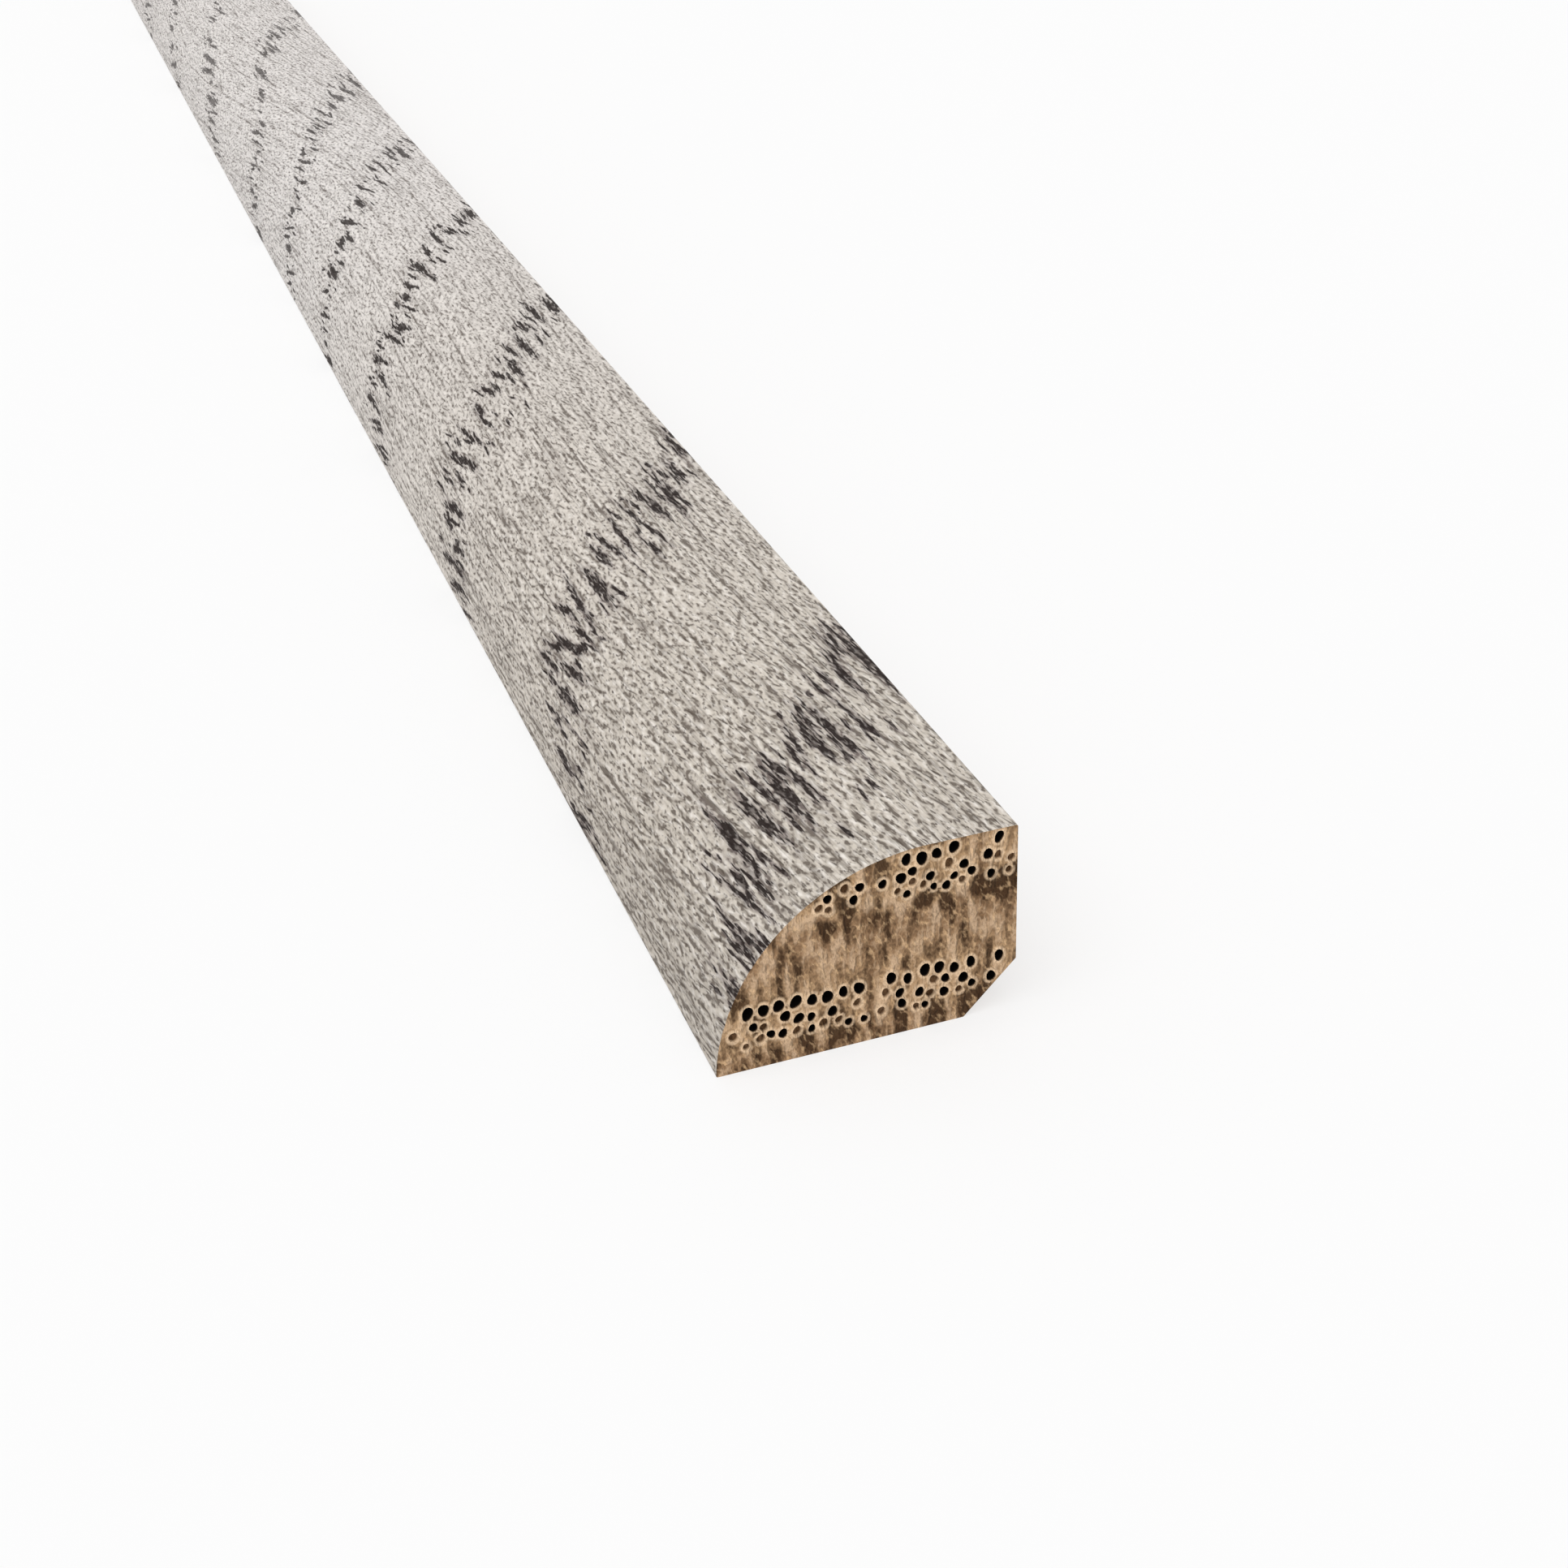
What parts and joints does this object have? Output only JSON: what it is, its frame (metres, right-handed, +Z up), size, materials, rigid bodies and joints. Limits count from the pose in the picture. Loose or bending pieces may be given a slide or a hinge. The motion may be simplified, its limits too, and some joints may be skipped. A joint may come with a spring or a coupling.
{
  "type": "shoe moulding",
  "caption": "Straight strip of hardwood floor trim with a rounded show face, a flat lip, flat seats at a right angle and a bevelled heel, to close the gap between floor and baseboard.",
  "frame": {"origin": "on the floor, at the middle of the strip's length and width", "axes": "+X along the strip, -Y towards the room (show face), +Y towards the baseboard (back seat), +Z up from the floor"},
  "size_m": [1.9812, 0.019, 0.0127],
  "materials": {
    "whitewashed_oak": "matt, whitewashed and brushed"
  },
  "bodies": {
    "root": {"shoe_moulding": "whitewashed_oak"}
  },
  "joints": []
}
